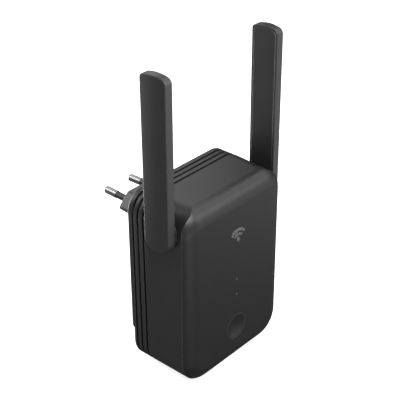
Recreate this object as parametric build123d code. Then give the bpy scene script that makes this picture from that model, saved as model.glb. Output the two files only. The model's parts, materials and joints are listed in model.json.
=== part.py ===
from build123d import *
import os
from math import cos, degrees, radians, sin

os.makedirs("parts", exist_ok=True)

# Plug-in wireless range extender, all sizes in millimetres.
# Origin: centre of the plug's engagement face, between the two pins.
# +Y runs along the pins into the wall, the front face looks towards -Y, +Z is up.

# ---------------------------------------------------------------- driving sizes
# body outline, seen from the front
BODY_W = 72.0
Z_TOP = 25.4
Z_BOTTOM = -74.6
R_TOP = 11.0
R_BOTTOM = 14.0

# stations along Y, from the wall side to the front
Y_PAD = -24.7
Y_PLATE = -25.9
Y_RIM_END = -27.5
GROOVES = [(-27.5, -28.75), (-30.75, -32.05), (-34.35, -35.65)]
Y_SHELL = -35.65
Y_RECESS = -37.5
Y_CREST = -59.6
Y_FRONT = -64.0
FRONT_FILLET = 8.5
RIM_GROW = 1.0
INNER_FILLET = 5.4
RIB_FILLET = 0.45
GROOVE_DEPTH = 2.3
TONGUE_T = 1.6
Y_TONGUE = -38.4
WALL = 2.0

# side scoop behind the front rim, where the antennas sit
SCOOP_X = 34.7
SCOOP_Z = 10.0
SCOOP_FADE_Z = -38.0
SCOOP_TOP_X = 22.0
INNER_X = 32.4

# raised back pad and blank label
PAD_BOTTOM = -54.3
LABEL_W, LABEL_TOP, LABEL_BOTTOM = 46.0, -17.0, -46.0

# two-pole plug: slim pod, sleeved pins 19 mm long, 18.6 mm apart at the base, 17.5 mm at the tips
PIN_LEN = 19.0
PIN_R = 2.0
PIN_BASE = 18.6
PIN_TIP = 17.5
SLEEVE_LEN = 10.0
SLEEVE_R = 1.83
CORE_R = 1.3
POD_W = 35.3
POD_H = 13.7
POD_FLAT = 22.6
POD_NOSE = 1.3
POD_R = 2.6

# antennas
ANT_IN = 36.45
ANT_OUT = 41.35
ANT_CROWN = 0.35
ANT_W = 15.5
ANT_Y = -48.85
ANT_BOTTOM = 4.75
ANT_TOP = 94.5
ANT_ARCH = 1.35
ANT_R_BOTTOM = 6.6
ANT_R_FRONT = 2.9
ANT_R_REAR = 2.1
ANT_WALL = 1.2
COVER_T = 1.2
PIVOT_Z = ANT_BOTTOM + ANT_W / 2
SHAFT_R = 4.45
SHAFT_CLEAR = 0.05
COLLAR_R = 6.2
COLLAR_X = 35.92
BOSS_X = 35.85
BOSS_R = 7.2
BOSS_IN = 31.6
WASHER_T = 0.6
CLIP_T = 0.7
SHAFT_END = 29.4
LEAD_R = 0.6

# front button, lights and mark
BUTTON_Z = -53.7
BUTTON_R = 7.1
BUTTON_CLEAR = 0.08
BUTTON_DISH_R = 6.6
BUTTON_DISH = 0.95
LIGHT_Z = [-24.5, -33.6]
LIGHT_HOLE_R = 0.55
MARK_Z = -1.2
MARK_R = [(4.9, 6.35), (2.5, 3.9)]
MARK_DOT = 1.15
MARK_HALF = 55.0
MARK_RISE = 0.5
MARK_GAP = 0.08

# boards
MB_FRONT, MB_BACK = -56.0, -54.4
MB_X, MB_TOP, MB_BOTTOM = 25.0, 14.3, -71.0
PB_FRONT, PB_BACK = -34.0, -32.4
PB_X, PB_TOP, PB_BOTTOM = 27.0, 14.3, -50.0
MB_FIX = [(-21.5, 11.2), (21.5, 11.2), (-21.5, -66.0), (21.5, -66.0)]
PB_FIX = [(-23.0, 8.0), (23.0, 8.0), (-23.0, -44.0), (23.0, -44.0)]
CASE_FIX = [(-20.0, 18.0), (20.0, 18.0), (-28.6, -62.0), (28.6, -62.0)]

# network socket in the bottom, and the reset pinhole beside it
JACK_X, JACK_IN, JACK_Z0, JACK_Z1 = 8.0, -40.9, -73.9, -52.5
RESET_X, RESET_Y = 16.0, -52.2


# ---------------------------------------------------------------- helpers
def box(x0, x1, y0, y1, z0, z1):
    return Pos((x0 + x1) / 2, (y0 + y1) / 2, (z0 + z1) / 2) * Box(
        abs(x1 - x0), abs(y1 - y0), abs(z1 - z0)
    )


def slab(sketch, y_rear, y_front):
    """Extrude a sketch drawn in X and Z from y_rear forwards to y_front."""
    return extrude(Plane.XZ.offset(-y_rear) * sketch, amount=y_rear - y_front)


def rod_y(x, z, r, y_rear, y_front):
    return slab(Pos(x, z) * Circle(r), y_rear, y_front)


def rod_x(y, z, r, x0, x1):
    lo, hi = min(x0, x1), max(x0, x1)
    return extrude(Plane.YZ.offset(lo) * (Pos(y, z) * Circle(r)), amount=hi - lo)


def outline(inset=0.0, half=None, r_top=R_TOP, r_bottom=R_BOTTOM, z0=Z_BOTTOM, z1=Z_TOP):
    half = BODY_W / 2 if half is None else half
    w = 2 * (half - inset)
    h = (z1 - inset) - (z0 + inset)
    s = Pos(0, (z0 + z1) / 2) * Rectangle(w, h)
    s = fillet(s.vertices().group_by(Axis.Y)[-1], max(r_top - inset, 0.3))
    s = fillet(s.vertices().group_by(Axis.Y)[0], max(r_bottom - inset, 0.3))
    return s


def y_edges(solid, y):
    """Every edge that lies wholly in the plane of this y."""
    return [
        e
        for e in solid.edges()
        if abs(e.bounding_box().min.Y - y) < 1e-4 and abs(e.bounding_box().max.Y - y) < 1e-4
    ]


def mirrored(pts):
    return [(-x, z) for x, z in pts]


def one(shape):
    """A single clean solid out of a boolean result."""
    solids = shape.solids()
    return solids[0] if len(solids) == 1 else Compound(children=list(solids))


def save(name, shape):
    solids = shape.solids() if not isinstance(shape, list) else [s for p in shape for s in p.solids()]
    out = solids[0] if len(solids) == 1 else Compound(children=[s for s in solids])
    out.label = name
    export_step(out, f"parts/{name}.step")


# ---------------------------------------------------------------- front housing
def waist_section(y, front):
    """Outline used to draw the sides in behind the front rim. It stands just outside the body except at
    the upper corners of its front end, so the scoop fades out on its own towards the back, top and bottom."""
    e = 0.12
    h, zt, zb = BODY_W / 2 + e, Z_TOP + e, Z_BOTTOM - 2.0
    if front:
        corner = [(SCOOP_TOP_X, zt), (SCOOP_TOP_X + 8.2, zt), (SCOOP_X, SCOOP_Z + 9.8), (SCOOP_X, SCOOP_Z)]
        side = [(SCOOP_X, SCOOP_Z), (SCOOP_X, SCOOP_Z - 16.0), (h, SCOOP_FADE_Z + 16.0), (h, SCOOP_FADE_Z)]
    else:
        r, k = R_TOP, 0.5523
        corner = [(h - r, zt), (h - r + k * r, zt), (h, zt - r + k * r), (h, zt - r)]
        side = [(h, zt - r), (h, zt - r - 16.0), (h, SCOOP_FADE_Z + 16.0), (h, SCOOP_FADE_Z)]
    foot = (h, zb)
    right = [Bezier(*corner), Bezier(*side), Line(side[3], foot)]
    left = [
        Line(mirrored([foot])[0], mirrored([side[3]])[0]),
        Bezier(*mirrored(side)[::-1]),
        Bezier(*mirrored(corner)[::-1]),
    ]
    edges = right + [Line(foot, mirrored([foot])[0])] + left + [Line(mirrored([corner[0]])[0], corner[0])]
    return Plane.XZ.offset(-y) * make_face(Curve() + edges)


# the front rounding is struck from an outline a little larger at the sides and bottom, so it meets
# the top tangentially and the sides and bottom at a crisp edge
crown = slab(
    outline(0, half=BODY_W / 2 + RIM_GROW, r_top=R_TOP + RIM_GROW, r_bottom=R_BOTTOM + RIM_GROW, z0=Z_BOTTOM - RIM_GROW),
    Y_SHELL + 1.0,
    Y_FRONT,
)
crown = fillet(y_edges(crown, Y_FRONT), FRONT_FILLET)
block = slab(outline(), Y_SHELL, Y_FRONT - 1.0)
block = fillet(y_edges(block, Y_SHELL), RIB_FILLET)
block = one(block & crown)
waist = loft([waist_section(Y_RECESS + 1.5, False), waist_section(Y_CREST, True)], ruled=True)
scoops = box(-45, 45, Y_RECESS + 1.5, Y_CREST, -44, 40) - waist
shell = block - scoops

cavity = slab(outline(WALL), Y_SHELL + 1, Y_TONGUE - 0.6)
deep = slab(
    outline(0, half=INNER_X, r_top=13.0, r_bottom=12.0, z0=Z_BOTTOM + WALL, z1=Z_TOP - WALL),
    Y_TONGUE - 0.5,
    Y_FRONT + WALL,
)
deep = fillet(y_edges(deep, Y_FRONT + WALL), INNER_FILLET)
front_housing = shell - cavity - deep

# flat bosses that carry the antenna pivots
for s in (-1, 1):
    front_housing += rod_x(ANT_Y, PIVOT_Z, BOSS_R, s * BOSS_IN, s * BOSS_X)
    front_housing -= rod_x(ANT_Y, PIVOT_Z, BOSS_R + 0.3, s * 24.0, s * BOSS_IN)
    front_housing -= rod_x(ANT_Y, PIVOT_Z, SHAFT_R + SHAFT_CLEAR, s * 28.0, s * 38.0)

# screw bosses that hold the case together and posts under the main board
Y_BOSS_END = -29.7
for x, z in CASE_FIX:
    front_housing += rod_y(x, z, 3.0, Y_BOSS_END, Y_FRONT + WALL - 0.2)
    front_housing -= rod_y(x, z, 1.3, Y_BOSS_END + 1, -44.0)
for x, z in MB_FIX:
    front_housing += rod_y(x, z, 2.2, MB_FRONT, Y_FRONT + WALL - 0.2)
    front_housing -= rod_y(x, z, 0.85, MB_FRONT + 1, -61.0)

# button hole, light holes, mark cut-outs
front_housing -= rod_y(0, BUTTON_Z, BUTTON_R + BUTTON_CLEAR, -60.0, -66.0)
for z in LIGHT_Z:
    front_housing -= rod_y(0, z, LIGHT_HOLE_R, -60.0, -66.0)


def mark_shapes(grow):
    """A dot under two short arcs, the common sign for a radio link."""
    out = [Pos(0, MARK_Z + 0.2) * Circle(MARK_DOT + grow)]
    for r0, r1 in MARK_R:
        half = MARK_HALF + degrees(grow / r1)
        a0, a1 = radians(90 - half), radians(90 + half)
        ri, ro = r0 - grow, r1 + grow
        c = MARK_Z
        arc_o = ThreePointArc(
            (ro * cos(a0), c + ro * sin(a0)), (0, c + ro), (ro * cos(a1), c + ro * sin(a1))
        )
        arc_i = ThreePointArc(
            (ri * cos(a1), c + ri * sin(a1)), (0, c + ri), (ri * cos(a0), c + ri * sin(a0))
        )
        l1 = Line((ro * cos(a1), c + ro * sin(a1)), (ri * cos(a1), c + ri * sin(a1)))
        l0 = Line((ri * cos(a0), c + ri * sin(a0)), (ro * cos(a0), c + ro * sin(a0)))
        out.append(make_face(Curve() + [arc_o, l1, arc_i, l0]))
    return out


for sk in mark_shapes(MARK_GAP):
    front_housing -= slab(sk, -61.0, -66.0)

# network socket and reset pinhole in the bottom wall
front_housing -= box(-JACK_X - 0.2, JACK_X + 0.2, JACK_IN + 0.2, MB_BACK - 0.2, -76, -72)
front_housing -= Pos(RESET_X, RESET_Y, -74) * Cylinder(0.75, 6)
front_housing = one(front_housing)
save("front_housing", front_housing)

# ---------------------------------------------------------------- rear housing with cooling ribs
plate = slab(outline(), Y_PLATE, Y_RIM_END)
plate = fillet(y_edges(plate, Y_PLATE), 0.9)
plate = fillet(y_edges(plate, Y_RIM_END), 0.35)
pad = slab(
    outline(0.0, r_top=R_TOP, r_bottom=3.0, z0=PAD_BOTTOM, z1=Z_TOP),
    Y_PAD,
    Y_PLATE - 0.95,
)
pad = fillet(y_edges(pad, Y_PAD), 0.9)
rear_housing = plate + pad
core = slab(outline(GROOVE_DEPTH), Y_RIM_END + 0.5, Y_TONGUE)
for a, b in ((GROOVES[0][1], GROOVES[1][0]), (GROOVES[1][1], GROOVES[2][0])):
    rib = slab(outline(), a, b)
    rib = fillet(y_edges(rib, a) + y_edges(rib, b), RIB_FILLET)
    core += rib
rear_housing += core
rear_housing -= slab(outline(GROOVE_DEPTH + TONGUE_T), -27.9, -45)

# vents through the floors of the first two grooves
vents = []
for a, b in GROOVES[:2]:
    ym, yw = (a + b) / 2, abs(b - a)
    for i in range(7):
        z = -56.0 + 10.5 * i
        vents.append(box(-40, 40, a, b, z - 3.6, z + 3.6))
    for i in range(4):
        x = -15.75 + 10.5 * i
        vents.append(box(x - 3.6, x + 3.6, a, b, -90, 50))
for v in vents:
    rear_housing -= v

# screw seats and posts under the power board
Y_SEAT = -28.2
for x, z in CASE_FIX:
    rear_housing += rod_y(x, z, 4.0, -27.0, Y_BOSS_END)
    rear_housing -= rod_y(x, z, 2.7, -20, Y_SEAT)
    rear_housing -= rod_y(x, z, 1.6, -20, -40)
for x, z in PB_FIX:
    rear_housing += rod_y(x, z, 2.2, -27.0, PB_BACK)
    rear_housing -= rod_y(x, z, 0.85, -28.5, -40)


# plug opening and label seat
def pod(grow=0.0, w=POD_W, h=POD_H, flat=POD_FLAT, nose=POD_NOSE, r=POD_R):
    pts = [
        (flat / 2, h / 2),
        (w / 2, nose / 2),
        (w / 2, -nose / 2),
        (flat / 2, -h / 2),
        (-flat / 2, -h / 2),
        (-w / 2, -nose / 2),
        (-w / 2, nose / 2),
        (-flat / 2, h / 2),
    ]
    s = make_face(Polyline(*pts, close=True))
    v = s.vertices()
    flats = [q for q in v if abs(abs(q.Y) - h / 2) < 0.01]
    noses = [q for q in v if abs(abs(q.X) - w / 2) < 0.01]
    s = fillet(flats, r)
    noses = [q for q in s.vertices() if abs(abs(q.X) - w / 2) < 0.01 and abs(q.Y) < nose]
    s = fillet(noses, 0.6)
    return offset(s, grow) if grow else s


rear_housing -= slab(pod(0.2), -20, -35)
rear_housing -= slab(
    fillet((Pos(0, (LABEL_TOP + LABEL_BOTTOM) / 2) * Rectangle(LABEL_W, LABEL_TOP - LABEL_BOTTOM)).vertices(), 2.0),
    -20,
    Y_PAD - 0.25,
)
rear_housing = one(rear_housing)
save("rear_housing", rear_housing)

label = slab(
    fillet(
        (Pos(0, (LABEL_TOP + LABEL_BOTTOM) / 2) * Rectangle(LABEL_W - 0.8, LABEL_TOP - LABEL_BOTTOM - 0.8)).vertices(),
        1.6,
    ),
    Y_PAD - 0.05,
    Y_PAD - 0.25,
)
save("rating_label", label)

# ---------------------------------------------------------------- plug
pod_body = slab(pod(), 0, -27.9)
pod_body = fillet(y_edges(pod_body, 0), 0.5)
pod_flange = slab(
    fillet(Rectangle(POD_W + 5, POD_H + 5).vertices(), 4.0), -27.9, -29.4
)
plug_body = pod_body + pod_flange


def pin_frame(s):
    """Frame at the base of one pin, local Z along the pin towards its tip."""
    tip = Vector(s * (PIN_TIP / 2), PIN_LEN, 0)
    base = Vector(s * (PIN_BASE / 2), 0, 0)
    return Plane(origin=base, x_dir=(0, 0, 1), z_dir=(tip - base).normalized())


def rod_pin(s, r, a, b):
    pl = pin_frame(s)
    return extrude(pl.offset(a) * Circle(r), amount=b - a)


for s, side in ((-1, "left"), (1, "right")):
    tip = rod_pin(s, PIN_R, SLEEVE_LEN, PIN_LEN)
    far = sorted(tip.edges(), key=lambda e: e.center().Y)[-1]
    tip = fillet(far, 1.5)
    stem = rod_pin(s, CORE_R, -32.0, SLEEVE_LEN + 0.5)
    save(f"plug_pin_{side}", one(tip + stem))
    sleeve = rod_pin(s, SLEEVE_R, -3.0, SLEEVE_LEN) - rod_pin(s, CORE_R + 0.02, -4, SLEEVE_LEN + 1)
    save(f"pin_sleeve_{side}", one(sleeve))
    plug_body -= rod_pin(s, SLEEVE_R + 0.02, -3.0, 3)
    plug_body -= rod_y(s * PIN_BASE / 2, 0, SLEEVE_R + 0.2, 0.5, -0.35)
    plug_body -= rod_pin(s, CORE_R + 0.05, -35, -2)
save("plug_body", one(plug_body))

clips = []
for s in (-1, 1):
    c = rod_pin(s, 2.3, -32.2, -29.8) - rod_pin(s, CORE_R + 0.05, -33, -29)
    c -= box(s * 9.3 - 0.35 + s * 0.9, s * 9.3 + 0.35 + s * 0.9, -34, -29, 0.5, 4)
    clips.append(one(c))
save("contact_clips", clips)

# ---------------------------------------------------------------- case screws
def screw(x, z, seat_y, head_r, head_h, shank_r, length, away=1):
    """Round-head screw driven along -Y (away=1 keeps the head on the +Y side of its seat)."""
    head = rod_y(x, z, head_r, seat_y + head_h, seat_y) if away > 0 else rod_y(x, z, head_r, seat_y, seat_y - head_h)
    top = seat_y + head_h if away > 0 else seat_y - head_h
    head = fillet(y_edges(head, top), head_h * 0.45)
    if away > 0:
        shank = rod_y(x, z, shank_r, seat_y + 0.1, seat_y - length)
        slot_y0, slot_y1 = top + 1, top - head_h * 0.55
    else:
        shank = rod_y(x, z, shank_r, seat_y + length, seat_y - 0.1)
        slot_y0, slot_y1 = top + head_h * 0.55, top - 1
    w = head_r * 0.24
    body = head + shank
    body -= box(x - head_r * 0.62, x + head_r * 0.62, slot_y0, slot_y1, z - w / 2, z + w / 2)
    body -= box(x - w / 2, x + w / 2, slot_y0, slot_y1, z - head_r * 0.62, z + head_r * 0.62)
    return one(body)


save("case_screws", [screw(x, z, Y_SEAT, 2.4, 1.5, 1.2, 12.0) for x, z in CASE_FIX])
save("board_screws", [screw(x, z, MB_BACK, 1.8, 1.2, 0.75, 5.5) for x, z in MB_FIX])
save("power_board_screws", [screw(x, z, PB_FRONT, 1.8, 1.2, 0.75, 4.8, away=-1) for x, z in PB_FIX])

# ---------------------------------------------------------------- mark, light guide, button
mark = slab(Pos(0, MARK_Z + 3.0) * RectangleRounded(14.0, 9.6, 1.5), Y_FRONT + WALL + 0.8, Y_FRONT + WALL)
for sk in mark_shapes(0.0):
    mark += slab(sk, Y_FRONT + WALL + 0.1, Y_FRONT - MARK_RISE)
save("front_emblem", one(mark))

guide = slab(Pos(0, (LIGHT_Z[0] + LIGHT_Z[1]) / 2) * RectangleRounded(3.6, 14.5, 1.2), -60.5, -61.9)
for z in LIGHT_Z:
    guide += rod_y(0, z, LIGHT_HOLE_R - 0.05, -61.5, Y_FRONT + 0.05)
    guide += rod_y(0, z, 1.0, -57.2, -60.6)
save("light_guide", one(guide))
save("status_lights", [box(-0.5, 0.5, -56.0, -56.7, z - 0.8, z + 0.8) for z in LIGHT_Z])

TRAVEL = 0.4
button = rod_y(0, BUTTON_Z, BUTTON_R, Y_FRONT + WALL, Y_FRONT)
dish_R = (BUTTON_DISH_R**2 + BUTTON_DISH**2) / (2 * BUTTON_DISH)
button -= Pos(0, Y_FRONT + BUTTON_DISH - dish_R, BUTTON_Z) * Sphere(dish_R)
button += rod_y(0, BUTTON_Z, 8.4, Y_FRONT + WALL + 1.0, Y_FRONT + WALL)
button += rod_y(0, BUTTON_Z, 2.0, -60.3, -61.5)
save("pairing_button", one(button))
switch = box(-3, 3, MB_FRONT, -59.5, BUTTON_Z - 3, BUTTON_Z + 3) - rod_y(0, BUTTON_Z, 1.85, -58.0, -60.5)
save("switch_body", one(switch))
save("switch_plunger", rod_y(0, BUTTON_Z, 1.75, -58.6, -60.3))

# ---------------------------------------------------------------- main board and what sits on it
main_board = slab(
    fillet((Pos(0, (MB_TOP + MB_BOTTOM) / 2) * Rectangle(2 * MB_X, MB_TOP - MB_BOTTOM)).vertices(), 1.0),
    MB_BACK,
    MB_FRONT,
)
for x, z in MB_FIX:
    main_board -= rod_y(x, z, 1.0, -50, -60)
save("main_board", one(main_board))

can = box(-13, 13, MB_FRONT, -58.6, -16, 8) - box(-12.6, 12.6, MB_FRONT + 1, -58.2, -15.6, 7.6)
save("shield_can", one(can))
save("processor_chip", box(-6, 6, MB_FRONT, -57.1, -10, 2))
save("thermal_pad", box(-9, 9, -58.6, -59.4, -12, 4))
spreader = slab(fillet((Pos(0, -4) * Rectangle(36, 25)).vertices(), 1.0), -59.4, -60.6)
save("heat_spreader", spreader)

jack = box(-JACK_X, JACK_X, MB_BACK, JACK_IN, JACK_Z0, JACK_Z1)
JC_Y0 = -52.6
JC_Y1 = JC_Y0 + 7.0
jack -= box(-6.0, 6.0, JC_Y0, JC_Y1, JACK_Z0 - 1, JACK_Z0 + 14.0)
jack -= box(-3.2, 3.2, JC_Y1 - 0.5, JC_Y1 + 1.9, JACK_Z0 - 1, JACK_Z0 + 10.0)
jack -= box(-1.9, 1.9, JC_Y1 + 1.4, JC_Y1 + 3.1, JACK_Z0 - 1, JACK_Z0 + 10.0)
for i in range(8):
    x = -3.57 + 1.02 * i
    jack -= box(x - 0.3, x + 0.3, JC_Y0 - 0.6, JC_Y0 + 0.1, JACK_Z0 + 3.0, JACK_Z0 + 14.0)
save("ethernet_jack", one(jack))
wires = []
for i in range(8):
    x = -3.57 + 1.02 * i
    w = box(x - 0.2, x + 0.2, JC_Y0 - 0.5, JC_Y0 + 0.0, JACK_Z0 + 3.4, JACK_Z0 + 13.6)
    wires.append(w)
save("jack_contacts", wires)
save("network_transformer", box(-6.4, 6.4, MB_BACK, -48.8, -50.2, -40.6))

reset = box(RESET_X - 2.6, RESET_X + 2.6, MB_BACK, -50.0, -70.6, -67.0)
reset -= box(RESET_X - 1.3, RESET_X + 1.3, RESET_Y - 0.9, RESET_Y + 0.9, -71, -69.4)
save("reset_switch", one(reset))
save("reset_plunger", box(RESET_X - 1.2, RESET_X + 1.2, RESET_Y - 0.8, RESET_Y + 0.8, -71.8, -69.8))

# ---------------------------------------------------------------- power board and what sits on it
power_board = slab(
    fillet((Pos(0, (PB_TOP + PB_BOTTOM) / 2) * Rectangle(2 * PB_X, PB_TOP - PB_BOTTOM)).vertices(), 1.0),
    PB_BACK,
    PB_FRONT,
)
for x, z in PB_FIX:
    power_board -= rod_y(x, z, 1.0, -30, -40)
save("power_board", one(power_board))

core_b = box(-4, 14, PB_FRONT, -49.5, -20, -4)
core_b -= box(-1.0, 2.5, -37.5, -46.5, -21, -3)
core_b -= box(7.5, 11.0, -37.5, -46.5, -21, -3)
save("transformer_core", one(core_b))
coil = box(-0.8, 10.8, -37.7, -46.3, -22.6, -1.4) - box(2.4, 7.6, -37, -47, -20.1, -3.9)
save("transformer_winding", one(coil))


def can_cap(x, z, r, h):
    c = rod_y(x, z, r, PB_FRONT, PB_FRONT - h)
    c = fillet(y_edges(c, PB_FRONT - h), 0.5)
    groove = rod_y(x, z, r + 1, PB_FRONT - 1.6, PB_FRONT - 2.2) - rod_y(x, z, r - 0.3, PB_FRONT, PB_FRONT - 4)
    return one(c - groove)


save("bulk_capacitors", [can_cap(-14, -7.5, 5.0, 16.0), can_cap(-14, -19.5, 5.0, 16.0)])
save("output_capacitors", [can_cap(18, -28, 3.15, 11.0), can_cap(18, -37, 3.15, 11.0)])
save("bridge_rectifier", box(-16, -8, PB_FRONT, -36.5, 2.0, 8.0))
save("input_fuse", rod_y(3.0, 7.5, 4.2, PB_FRONT, -42.0))
save("board_link", box(-19, -9, PB_FRONT, MB_BACK, -44.0, -41.4))

# ---------------------------------------------------------------- antennas
def blade(inset=0.0):
    y0, y1 = ANT_Y - ANT_W / 2, ANT_Y + ANT_W / 2
    zt = ANT_TOP
    pts = [(y0, ANT_BOTTOM), (y1, ANT_BOTTOM), (y1, zt - ANT_ARCH), (y0, zt - ANT_ARCH)]
    s = make_face(
        Curve()
        + [
            Line(pts[0], pts[1]),
            Line(pts[1], pts[2]),
            ThreePointArc(pts[2], (ANT_Y, zt), pts[3]),
            Line(pts[3], pts[0]),
        ]
    )
    low = s.vertices().group_by(Axis.Y)[0]
    s = fillet(low, ANT_R_BOTTOM)
    up = [v for v in s.vertices() if abs(v.Y - (zt - ANT_ARCH)) < 0.01]
    rear = [v for v in up if v.X > ANT_Y]
    s = fillet(rear, ANT_R_REAR)
    front = [v for v in s.vertices() if abs(v.Y - (zt - ANT_ARCH)) < 0.01 and v.X < ANT_Y]
    s = fillet(front, ANT_R_FRONT)
    return offset(s, -inset) if inset else s


def plate_x(sketch, x0, x1):
    lo, hi = min(x0, x1), max(x0, x1)
    return extrude(Plane.YZ.offset(lo) * sketch, amount=hi - lo)


CROWN_R = ((ANT_W / 2) ** 2 + ANT_CROWN**2) / (2 * ANT_CROWN)
for s, side in ((-1, "left"), (1, "right")):
    barrel = Pos(s * (ANT_OUT - CROWN_R), ANT_Y, (ANT_BOTTOM + ANT_TOP) / 2) * Cylinder(CROWN_R, 140)
    solid = plate_x(blade(), s * ANT_IN, s * (ANT_OUT + 1)) & barrel
    solid = one(solid)
    face = sorted(solid.faces(), key=lambda f: f.center().X * s)[-1]
    rim = face.edges()
    try:
        solid = fillet(rim, 0.5)
    except Exception as err:
        print("antenna rim fillet skipped", err)
    try:
        inner_face = sorted(solid.faces(), key=lambda f: f.center().X * s)[0]
        solid = fillet(inner_face.edges(), 0.35)
    except Exception as err:
        print("antenna inner fillet skipped", err)
    hollow = plate_x(blade(ANT_WALL), s * (ANT_IN - 1), s * (ANT_IN + COVER_T))
    hollow += plate_x(blade(ANT_WALL + 1.0), s * (ANT_IN + COVER_T - 0.2), s * (ANT_OUT - ANT_WALL))
    shell_a = solid - hollow
    for z in (24.0, 78.0):
        shell_a += rod_x(ANT_Y, z, 1.2, s * 38.8, s * (ANT_OUT - ANT_WALL + 0.2))
    save(f"antenna_shell_{side}", one(shell_a))

    cover = plate_x(blade(ANT_WALL + 0.1), s * ANT_IN, s * (ANT_IN + COVER_T))
    cover -= rod_x(ANT_Y, PIVOT_Z, 3.1, s * 30, s * 40)
    save(f"antenna_cover_{side}", one(cover))

    radiator = box(s * 38.0, s * 38.8, ANT_Y - 4.6, ANT_Y + 4.6, 9.6, 86.0)
    save(f"antenna_board_{side}", one(radiator))

    hub = rod_x(ANT_Y, PIVOT_Z, COLLAR_R, s * COLLAR_X, s * ANT_IN)
    hub += rod_x(ANT_Y, PIVOT_Z, SHAFT_R, s * SHAFT_END, s * (ANT_IN - 0.1))
    hub += rod_x(ANT_Y, PIVOT_Z, 3.0, s * (ANT_IN - 0.1), s * (ANT_IN + COVER_T))
    x_clip0 = BOSS_IN - WASHER_T
    hub -= rod_x(ANT_Y, PIVOT_Z, SHAFT_R + 1, s * (x_clip0 - CLIP_T), s * x_clip0) - rod_x(
        ANT_Y, PIVOT_Z, 3.7, s * 28, s * 33
    )
    hub -= rod_x(ANT_Y, PIVOT_Z, 1.2, s * 28, s * 40)
    save(f"antenna_pivot_{side}", one(hub))

    washer = rod_x(ANT_Y, PIVOT_Z, 6.6, s * BOSS_IN, s * x_clip0) - rod_x(ANT_Y, PIVOT_Z, 4.75, s * 28, s * 33)
    save(f"pivot_washer_{side}", one(washer))
    clip = rod_x(ANT_Y, PIVOT_Z, 6.0, s * x_clip0, s * (x_clip0 - CLIP_T)) - rod_x(ANT_Y, PIVOT_Z, 3.75, s * 28, s * 33)
    clip -= box(s * 29, s * 33, ANT_Y - 2.4, ANT_Y + 2.4, PIVOT_Z - 9, PIVOT_Z)
    save(f"pivot_clip_{side}", one(clip))

    route = FilletPolyline(
        (s * 37.95, ANT_Y, PIVOT_Z),
        (s * 25.0, ANT_Y, PIVOT_Z),
        (s * 21.5, -53.1, 1.5),
        (s * 21.5, -53.1, -4.4),
        radius=[5.0, 3.5],
    )
    lead = sweep(Plane(origin=route @ 0, z_dir=route % 0) * Circle(LEAD_R), path=route)
    save(f"antenna_lead_{side}", one(lead))

plugs = []
for s in (-1, 1):
    c = rod_y(s * 21.5, -5.6, 1.6, -52.0, MB_BACK)
    c -= box(s * 21.5 - 0.75, s * 21.5 + 0.75, -53.8, -52.4, -5.0, -3.0)
    plugs.append(one(c))
save("coax_plugs", plugs)
print("done")
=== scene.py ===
import json
import math

import bpy
from mathutils import Matrix, Vector


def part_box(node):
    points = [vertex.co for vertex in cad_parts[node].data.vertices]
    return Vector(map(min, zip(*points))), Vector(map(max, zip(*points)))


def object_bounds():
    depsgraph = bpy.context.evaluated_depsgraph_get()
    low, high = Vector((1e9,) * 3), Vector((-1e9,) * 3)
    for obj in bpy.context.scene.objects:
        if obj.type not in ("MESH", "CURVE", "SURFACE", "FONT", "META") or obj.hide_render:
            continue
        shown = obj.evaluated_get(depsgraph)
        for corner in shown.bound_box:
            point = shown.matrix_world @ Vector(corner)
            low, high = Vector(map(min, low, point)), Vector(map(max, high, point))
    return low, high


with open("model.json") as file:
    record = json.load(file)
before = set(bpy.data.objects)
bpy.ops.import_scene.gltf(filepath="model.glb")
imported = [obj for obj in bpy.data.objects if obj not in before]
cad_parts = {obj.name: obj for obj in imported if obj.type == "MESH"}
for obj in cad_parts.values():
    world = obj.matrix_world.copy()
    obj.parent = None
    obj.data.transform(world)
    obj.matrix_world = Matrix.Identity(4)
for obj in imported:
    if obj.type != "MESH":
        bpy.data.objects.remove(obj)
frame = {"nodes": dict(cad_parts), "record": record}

scene = bpy.context.scene
nodes = frame["nodes"]
cad_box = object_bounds()
MM = 0.001


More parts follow.
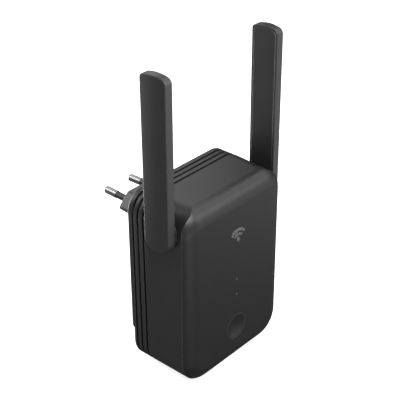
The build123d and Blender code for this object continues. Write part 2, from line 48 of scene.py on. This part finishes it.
# ------------------------------------------------------------------ node helpers
class Shade:
    """A small builder for one procedural material. Coordinates are the piece's own, in metres."""

    def __init__(self, name):
        self.m = bpy.data.materials.new(name)
        self.m.use_nodes = True
        self.nt = self.m.node_tree
        self.bsdf = next(n for n in self.nt.nodes if n.type == "BSDF_PRINCIPLED")
        self.pos = self.node("ShaderNodeTexCoord").outputs["Object"]

    def node(self, kind, **props):
        n = self.nt.nodes.new(kind)
        for k, v in props.items():
            setattr(n, k, v)
        return n

    def put(self, socket, value):
        if hasattr(value, "is_output"):
            self.nt.links.new(value, socket)
        else:
            socket.default_value = value

    def fixed(self, **values):
        for k, v in values.items():
            self.bsdf.inputs[k.replace("_", " ")].default_value = v
        return self

    def stretch(self, x, y, z, rot=(0, 0, 0)):
        n = self.node("ShaderNodeMapping")
        self.nt.links.new(self.pos, n.inputs["Vector"])
        n.inputs["Scale"].default_value = (x, y, z)
        n.inputs["Rotation"].default_value = rot
        return n.outputs["Vector"]

    def noise(self, size_mm, detail=2.0, rough=0.5, vector=None, distortion=0.0):
        n = self.node("ShaderNodeTexNoise")
        self.nt.links.new(vector or self.pos, n.inputs["Vector"])
        n.inputs["Scale"].default_value = 1.0 / (size_mm * MM)
        n.inputs["Detail"].default_value = detail
        n.inputs["Roughness"].default_value = rough
        n.inputs["Distortion"].default_value = distortion
        return n.outputs["Fac"]

    def cells(self, size_mm, feature="F1", vector=None, randomness=1.0):
        n = self.node("ShaderNodeTexVoronoi", feature=feature)
        self.nt.links.new(vector or self.pos, n.inputs["Vector"])
        n.inputs["Scale"].default_value = 1.0 / (size_mm * MM)
        n.inputs["Randomness"].default_value = randomness
        return n.outputs["Distance"]

    def wave(self, size_mm, direction="X", kind="BANDS", vector=None, distortion=0.0, profile="SIN"):
        n = self.node("ShaderNodeTexWave", wave_type=kind, wave_profile=profile)
        if kind == "BANDS":
            n.bands_direction = direction
        else:
            n.rings_direction = direction
        self.nt.links.new(vector or self.pos, n.inputs["Vector"])
        n.inputs["Scale"].default_value = 0.314159 / (size_mm * MM)
        n.inputs["Distortion"].default_value = distortion
        return n.outputs["Fac"]

    def math(self, op, a, b=0.0, c=0.0, clamp=False):
        n = self.node("ShaderNodeMath", operation=op, use_clamp=clamp)
        for s, v in zip(n.inputs, (a, b, c)):
            self.put(s, v)
        return n.outputs[0]

    def span(self, value, lo, hi, a, b):
        n = self.node("ShaderNodeMapRange", clamp=True)
        for k, v in zip(("Value", "From Min", "From Max", "To Min", "To Max"), (value, lo, hi, a, b)):
            self.put(n.inputs[k], v)
        return n.outputs["Result"]

    def mix(self, fac, a, b):
        n = self.node("ShaderNodeMix", data_type="RGBA")
        self.put(n.inputs[0], fac)
        for s, v in ((n.inputs[6], a), (n.inputs[7], b)):
            self.put(s, (*v, 1.0) if isinstance(v, tuple) and len(v) == 3 else v)
        return n.outputs[2]

    def axis(self, which):
        n = self.node("ShaderNodeSeparateXYZ")
        self.nt.links.new(self.pos, n.inputs[0])
        return n.outputs[which]

    def facing(self):
        """Components of the piece's own surface normal."""
        t = self.node("ShaderNodeTexCoord")
        n = self.node("ShaderNodeSeparateXYZ")
        self.nt.links.new(t.outputs["Normal"], n.inputs[0])
        return n.outputs

    def edges(self, radius_mm, gain=1.0):
        """0 on flat ground, up to 1 on a sharp edge: lowers roughness where handling polishes the piece, and in the
        mouldings also sets where a painted edge highlight lightens the colour.
        """
        b = self.node("ShaderNodeBevel", samples=4)
        b.inputs["Radius"].default_value = radius_mm * MM
        g = self.node("ShaderNodeNewGeometry")
        d = self.node("ShaderNodeVectorMath", operation="DOT_PRODUCT")
        self.nt.links.new(b.outputs[0], d.inputs[0])
        self.nt.links.new(g.outputs["Normal"], d.inputs[1])
        return self.span(self.math("SUBTRACT", 1.0, d.outputs["Value"]), 0.01, 0.22 / gain, 0.0, 1.0)

    def soft_edge(self, radius_mm):
        """The small break every moulded or turned edge has, which catches a thin line of light."""
        n = self.node("ShaderNodeBevel", samples=4)
        n.inputs["Radius"].default_value = radius_mm * MM
        return n.outputs[0]

    def bump(self, *layers, normal=None):
        """layers: (height socket, depth in mm), from coarse to fine."""
        last = normal
        for height, depth in layers:
            n = self.node("ShaderNodeBump")
            n.inputs["Strength"].default_value = 1.0
            n.inputs["Distance"].default_value = depth * MM
            self.nt.links.new(height, n.inputs["Height"])
            if last is not None:
                self.nt.links.new(last, n.inputs["Normal"])
            last = n.outputs["Normal"]
        self.nt.links.new(last, self.bsdf.inputs["Normal"])

    def color(self, socket):
        self.put(self.bsdf.inputs["Base Color"], socket)

    def rough(self, socket):
        self.put(self.bsdf.inputs["Roughness"], socket)


def grey(v):
    return (v, v, v)


# ------------------------------------------------------------------ materials
def moulded(name, base, rough, grain=0.22, depth=0.006, peel=0.02, edge_wear_and_glint=0.5, ior=1.5, sheen=0.0, mottle=0.07, narrow_face_highlight=0.0, crisp=1.0, glint=3.2):
    """Spark-eroded charcoal moulding: fine grain, slow mould unevenness, faintly polished edges that also carry a
    painted highlight in their colour, faint handling marks.
    """
    s = Shade(name).fixed(IOR=ior)
    fine = s.noise(grain, 3.0, 0.62)
    pits = s.cells(grain * 1.7)
    slow = s.noise(14.0, 2.0, 0.5)
    cloud = s.noise(38.0, 3.0, 0.55)
    hand = s.noise(9.0, 4.0, 0.7, distortion=0.6)
    tone = s.math("ADD", s.math("MULTIPLY", cloud, 0.6), s.math("MULTIPLY", fine, 0.4))
    body = s.mix(tone, grey(base * (1 - mottle)), grey(base * (1 + mottle)))
    speck = s.span(s.cells(0.55), 0.0, 0.16, 1.0, 0.0)
    body = s.mix(s.math("MULTIPLY", speck, 0.10), body, grey(base * 1.7))
    edge = s.edges(0.35, crisp)
    # painted highlight: faces turned towards ±Y (the antenna's narrow faces) get a lighter colour, standing in for
    # the light those faces catch
    if narrow_face_highlight:
        narrow = s.span(s.math("ABSOLUTE", s.facing()["Y"]), 0.55, 0.95, 0.0, 1.0)
        body = s.mix(s.math("MULTIPLY", narrow, narrow_face_highlight), body, grey(base * 3.0))
    # painted highlight: along sharp edges the colour is lightened towards grey(base * glint), standing in for the
    # thin bright line of light an edge catches; the roughness drop below is the real polish
    s.color(s.mix(s.math("MULTIPLY", edge, edge_wear_and_glint), body, grey(base * glint)))
    r = s.span(hand, 0.3, 0.75, rough - 0.025, rough + 0.03)
    r = s.math("ADD", r, s.span(fine, 0.3, 0.7, -0.02, 0.02))
    s.rough(s.math("SUBTRACT", r, s.math("MULTIPLY", edge, edge_wear_and_glint * 0.10), clamp=True))
    if sheen:
        s.fixed(Sheen_Weight=sheen, Sheen_Roughness=0.5)
    s.bump((slow, peel), (pits, depth * 0.7), (fine, depth), normal=s.soft_edge(0.28))
    return s.m


def metal(name, rgb, rough, brushed=None, edge_wear_and_glint=0.3, patina=(0.6, 0.6, 0.6), grain_mm=0.12):
    s = Shade(name).fixed(Metallic=1.0)
    streak = s.noise(grain_mm, 3.0, 0.6, vector=s.stretch(*brushed) if brushed else None)
    cloud = s.noise(3.0, 3.0, 0.6)
    dirt = s.span(s.noise(1.4, 4.0, 0.7), 0.55, 0.8, 0.0, 0.35)
    dark = tuple(a * b for a, b in zip(rgb, patina))
    s.color(s.mix(s.math("ADD", s.math("MULTIPLY", cloud, 0.25), dirt), rgb, dark))
    r = s.math("ADD", s.span(streak, 0.3, 0.7, rough - 0.05, rough + 0.08), s.math("MULTIPLY", dirt, 0.4))
    s.rough(s.math("SUBTRACT", r, s.math("MULTIPLY", s.edges(0.2), edge_wear_and_glint * 0.2), clamp=True))
    s.bump((cloud, 0.006), (streak, 0.004))
    return s.m


def gloss_mark():
    """The raised mark: smooth high-gloss moulding with a hard clear skin."""
    s = Shade("mark_gloss_black").fixed(Coat_Weight=0.6, Coat_Roughness=0.06, IOR=1.55)
    slow = s.noise(1.6, 2.0, 0.5)
    fine = s.noise(0.10, 3.0, 0.6)
    scratch = s.noise(0.12, 2.0, 0.7, vector=s.stretch(1.0, 1.0, 0.05, (0, 0.5, 0)))
    s.color(s.mix(slow, grey(0.10), grey(0.13)))
    s.rough(s.span(scratch, 0.35, 0.7, 0.20, 0.30))
    s.bump((slow, 0.008), (fine, 0.0015))
    return s.m


def film_label():
    """Blank satin film with a fine printed border and a die-cut edge."""
    s = Shade("rating_film").fixed(IOR=1.46)
    lo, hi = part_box("rating_label")
    mid = (lo + hi) / 2
    half = (hi - lo) / 2
    dx = s.math("SUBTRACT", half.x, s.math("ABSOLUTE", s.math("SUBTRACT", s.axis("X"), mid.x)))
    dz = s.math("SUBTRACT", half.z, s.math("ABSOLUTE", s.math("SUBTRACT", s.axis("Z"), mid.z)))
    d = s.math("MINIMUM", dx, dz)
    line = s.math("MULTIPLY", s.span(d, 1.15 * MM, 1.25 * MM, 0.0, 1.0), s.span(d, 1.50 * MM, 1.60 * MM, 1.0, 0.0))
    fine = s.noise(0.09, 2.0, 0.6)
    cloud = s.noise(12.0, 3.0, 0.6)
    body = s.mix(cloud, grey(0.050), grey(0.060))
    s.color(s.mix(line, body, grey(0.20)))
    s.rough(s.span(fine, 0.3, 0.7, 0.36, 0.46))
    s.bump((cloud, 0.010), (fine, 0.002))
    return s.m


def milky_guide():
    s = Shade("light_guide_milky").fixed(IOR=1.58, Subsurface_Weight=0.1, Subsurface_Scale=0.0006)
    fog = s.noise(0.5, 3.0, 0.6)
    s.color(s.mix(fog, grey(0.08), grey(0.11)))
    s.rough(s.span(fog, 0.3, 0.7, 0.28, 0.42))
    s.bump((fog, 0.004))
    return s.m


def laminate():
    """Green solder mask over woven glass, copper tracks showing as low ridges, pale bare board at the cut edges."""
    s = Shade("board_green").fixed(IOR=1.5, Coat_Weight=0.3, Coat_Roughness=0.2)
    warp = s.wave(0.45, "X", distortion=0.3)
    weft = s.wave(0.45, "Z", distortion=0.3)
    weave = s.math("MULTIPLY", warp, weft)
    cell = s.cells(2.6, feature="DISTANCE_TO_EDGE", vector=s.stretch(1, 0.001, 1), randomness=0.35)
    track = s.span(cell, 0.05, 0.09, 1.0, 0.0)
    via = s.span(s.cells(1.9, vector=s.stretch(1, 0.001, 1)), 0.10, 0.13, 1.0, 0.0)
    mask = s.mix(s.noise(6.0, 3.0, 0.6), (0.010, 0.060, 0.026), (0.014, 0.078, 0.034))
    mask = s.mix(s.math("MULTIPLY", track, 0.55), mask, (0.030, 0.140, 0.060))
    mask = s.mix(via, mask, (0.50, 0.42, 0.26))
    flat = s.math("ABSOLUTE", s.facing()["Y"])
    s.color(s.mix(s.span(flat, 0.6, 0.8, 1.0, 0.0), mask, (0.42, 0.38, 0.24)))
    s.rough(s.span(weave, 0.0, 1.0, 0.30, 0.42))
    s.bump((track, 0.030), (weave, 0.006))
    return s.m


def antenna_laminate():
    """Green flex-like radiator board with a printed copper meander."""
    s = Shade("radiator_board").fixed(IOR=1.5)
    bars = s.wave(5.2, "Z", profile="SIN")
    fine = s.noise(0.3, 3.0, 0.6)
    copper = s.span(bars, 0.48, 0.52, 0.0, 1.0)
    mask = s.mix(fine, (0.012, 0.065, 0.030), (0.016, 0.080, 0.038))
    s.color(s.mix(copper, mask, (0.55, 0.26, 0.12)))
    s.rough(s.span(fine, 0.3, 0.7, 0.34, 0.46))
    s.bump((copper, 0.035), (fine, 0.004))
    return s.m


def component(name, rgb, rough, ring=None):
    """Moulded epoxy body with ejector marks."""
    s = Shade(name).fixed(IOR=1.55)
    fine = s.noise(0.16, 3.0, 0.65)
    cloud = s.noise(4.0, 3.0, 0.6)
    s.color(s.mix(cloud, rgb, tuple(v * 1.35 for v in rgb)))
    s.rough(s.span(fine, 0.3, 0.7, rough - 0.05, rough + 0.06))
    dots = s.span(s.cells(3.1, vector=s.stretch(1, 1, 1)), 0.16, 0.2, 0.0, 1.0)
    s.bump((dots, 0.02), (fine, 0.006))
    return s.m


def wound_tape():
    s = Shade("winding_tape").fixed(IOR=1.5, Coat_Weight=0.3, Coat_Roughness=0.15)
    turns = s.wave(0.55, "Z", distortion=0.8)
    fine = s.noise(0.8, 3.0, 0.6)
    s.color(s.mix(fine, (0.62, 0.42, 0.06), (0.72, 0.52, 0.10)))
    s.rough(s.span(turns, 0.0, 1.0, 0.26, 0.40))
    s.bump((turns, 0.05), (fine, 0.01))
    return s.m


def can_sleeve():
    """Shrink-sleeved electrolytic can, bare aluminium on its end."""
    s = Shade("capacitor_sleeve").fixed(IOR=1.5)
    fine = s.noise(0.25, 3.0, 0.6)
    cloud = s.noise(5.0, 3.0, 0.6)
    end = s.span(s.math("ABSOLUTE", s.facing()["Y"]), 0.80, 0.92, 0.0, 1.0)
    s.color(s.mix(end, s.mix(cloud, (0.012, 0.018, 0.050), (0.018, 0.026, 0.068)), (0.66, 0.67, 0.68)))
    s.rough(s.span(fine, 0.3, 0.7, 0.24, 0.34))
    s.put(s.bsdf.inputs["Metallic"], end)
    s.bump((cloud, 0.02), (fine, 0.004))
    return s.m


def cable_jacket():
    s = Shade("lead_jacket").fixed(IOR=1.5)
    fine = s.noise(0.12, 3.0, 0.6)
    drawn = s.noise(0.4, 2.0, 0.6, vector=s.stretch(0.1, 1, 1))
    s.color(s.mix(drawn, grey(0.022), grey(0.034)))
    s.rough(s.span(fine, 0.3, 0.7, 0.42, 0.55))
    s.bump((drawn, 0.010), (fine, 0.004))
    return s.m


def led_phosphor():
    s = Shade("led_phosphor").fixed(IOR=1.5)
    fine = s.noise(0.12, 3.0, 0.6)
    s.color(s.mix(fine, (0.78, 0.72, 0.40), (0.84, 0.80, 0.52)))
    s.rough(s.span(fine, 0.3, 0.7, 0.35, 0.5))
    s.bump((fine, 0.005))
    return s.m


BASE = 0.014
slots = {
    "housing_plastic": moulded("charcoal_housing", BASE, 0.40, edge_wear_and_glint=0.9, crisp=6.0, glint=7.0),
    "antenna_plastic": moulded("charcoal_antenna", BASE, 0.39, grain=0.20, depth=0.005, edge_wear_and_glint=0.9, narrow_face_highlight=1.0, crisp=2.0, glint=7.0),
    "button_plastic": moulded("charcoal_button", BASE, 0.38, grain=0.16, depth=0.004, edge_wear_and_glint=0.9, crisp=4.0, glint=7.0),
    "pivot_plastic": moulded("pivot_acetal", 0.014, 0.36, grain=0.30, depth=0.003, edge_wear_and_glint=0.8),
    "plug_plastic": moulded("plug_black", 0.042, 0.36, grain=0.26, depth=0.005),
    "sleeve_plastic": moulded("sleeve_black", 0.014, 0.34, grain=0.18, depth=0.003, peel=0.01),
    "jack_plastic": moulded("socket_black", 0.012, 0.38, grain=0.20, depth=0.003),
    "pin_metal": metal("nickel_pin", (0.29, 0.285, 0.275), 0.24, brushed=(1.0, 0.06, 1.0)),
    "can_metal": metal("tinned_can", (0.70, 0.70, 0.69), 0.34, brushed=(0.15, 1, 1)),
    "spreader_aluminium": metal("brushed_aluminium", (0.80, 0.81, 0.82), 0.30, brushed=(0.04, 1, 1)),
    "screw_steel": metal("zinc_screw", (0.34, 0.345, 0.35), 0.30, patina=(0.5, 0.5, 0.5)),
    "brass_parts": metal("brass", (0.80, 0.58, 0.26), 0.26, patina=(0.6, 0.5, 0.4)),
    "label_film": film_label(),
    "emblem_gloss": gloss_mark(),
    "light_guide_clear": milky_guide(),
    "led_body": led_phosphor(),
    "black_component": component("black_epoxy", grey(0.018), 0.50),
    "board_laminate": laminate(),
    "pad_rubber": component("thermal_pad_grey", (0.16, 0.20, 0.26), 0.75),
    "ferrite": component("ferrite_ceramic", (0.030, 0.028, 0.026), 0.60),
    "winding_tape": wound_tape(),
    "capacitor_can": can_sleeve(),
    "lead_jacket": cable_jacket(),
}
radiator = antenna_laminate()

slot_of = {p["node"]: p["material_slot"] for p in frame["record"]["subparts"]}
for name, obj in nodes.items():
    material = radiator if name.startswith("antenna_board") else slots[slot_of[name]]
    for ms in obj.material_slots:
        ms.material = material


# ------------------------------------------------------------------ camera
def place_camera():
    az, el, roll = math.radians(-48.42), math.radians(30.16), math.radians(-0.30)
    target, dist = Vector((0.0, -0.03962, 0.01167)), 0.519
    back = Vector((math.sin(az) * math.cos(el), -math.cos(az) * math.cos(el), math.sin(el)))
    right = Vector((math.cos(az), math.sin(az), 0.0))
    up = back.cross(right)
    r2 = math.cos(roll) * right + math.sin(roll) * up
    u2 = -math.sin(roll) * right + math.cos(roll) * up
    data = bpy.data.cameras.new("camera")
    data.sensor_width = 36.0
    data.lens = 1048.3 / 400.0 * 36.0
    data.clip_start, data.clip_end = 0.02, 50.0
    cam = bpy.data.objects.new("camera", data)
    m = Matrix((r2, u2, back)).transposed().to_4x4()
    m.translation = target + back * dist
    cam.matrix_world = m
    scene.collection.objects.link(cam)
    scene.camera = cam


place_camera()

# ------------------------------------------------------------------ floor, background and light
lo, hi = cad_box
FLOOR_Z = lo.z - 0.0004


def pale_floor():
    s = Shade("pale_floor").fixed(IOR=1.45)
    fine = s.noise(2.0, 3.0, 0.6)
    s.color(s.mix(fine, grey(0.86), grey(0.90)))
    s.rough(s.span(fine, 0.3, 0.7, 0.75, 0.85))
    s.fixed(Emission_Color=(1, 1, 1, 1), Emission_Strength=FLOOR_GLOW)
    return s.m


FLOOR_GLOW = 0.80
mesh = bpy.data.meshes.new("studio_floor")
n, radius = 64, 4.0
ring = [(radius * math.cos(2 * math.pi * i / n), radius * math.sin(2 * math.pi * i / n), 0.0) for i in range(n)]
mesh.from_pydata(ring, [], [list(range(n))])
floor = bpy.data.objects.new("studio_floor", mesh)
floor.location = (0, 0, FLOOR_Z)
mesh.materials.append(pale_floor())
scene.collection.objects.link(floor)
for ray in ("visible_diffuse", "visible_glossy", "visible_transmission", "visible_shadow"):
    setattr(floor, ray, False)

world = bpy.data.worlds.new("studio")
world.use_nodes = True
background = next(n for n in world.node_tree.nodes if n.type == "BACKGROUND")
background.inputs["Color"].default_value = (1, 1, 1, 1)
background.inputs["Strength"].default_value = 0.10
scene.world = world

CENTRE = Vector((0.0, -0.045, 0.01))


# soft panels round the object: (bearing, height above the horizon, watts); the low ones are the light table's glow
PANELS = [
    (-180, -15, 2.73),
    (-30, 60, 2.17),
    (-150, 35, 1.07),
    (30, 35, 0.85),
    (90, 60, 0.71),
    (-30, -15, 0.40),
    (150, 35, 0.43),
    (-30, 35, 0.33),
    (-90, -15, 0.50),
    (60, 35, 0.27),
    (30, 10, 0.24),
    (0, -15, 0.16),
    (30, -15, 0.15),
    (60, -15, 0.15),
    (-150, -15, 0.08),
    (-120, -45, 0.03),
]


def softbox(name, az, el, power, size=0.30, dist=0.5):
    a, e = math.radians(az), math.radians(el)
    back = Vector((math.sin(a) * math.cos(e), -math.cos(a) * math.cos(e), math.sin(e)))
    data = bpy.data.lights.new(name, "AREA")
    data.shape = "SQUARE"
    data.size = size
    data.energy = power
    obj = bpy.data.objects.new(name, data)
    obj.location = CENTRE + back * dist
    obj.rotation_mode = "QUATERNION"
    obj.rotation_quaternion = (-back).to_track_quat("-Z", "Y")
    obj.visible_camera = False
    scene.collection.objects.link(obj)
    return obj


for i, (az, el, watts) in enumerate(PANELS):
    softbox(f"panel_{i + 1:02d}", az, el, watts)

scene.view_settings.view_transform = "Standard"
scene.view_settings.look = "None"
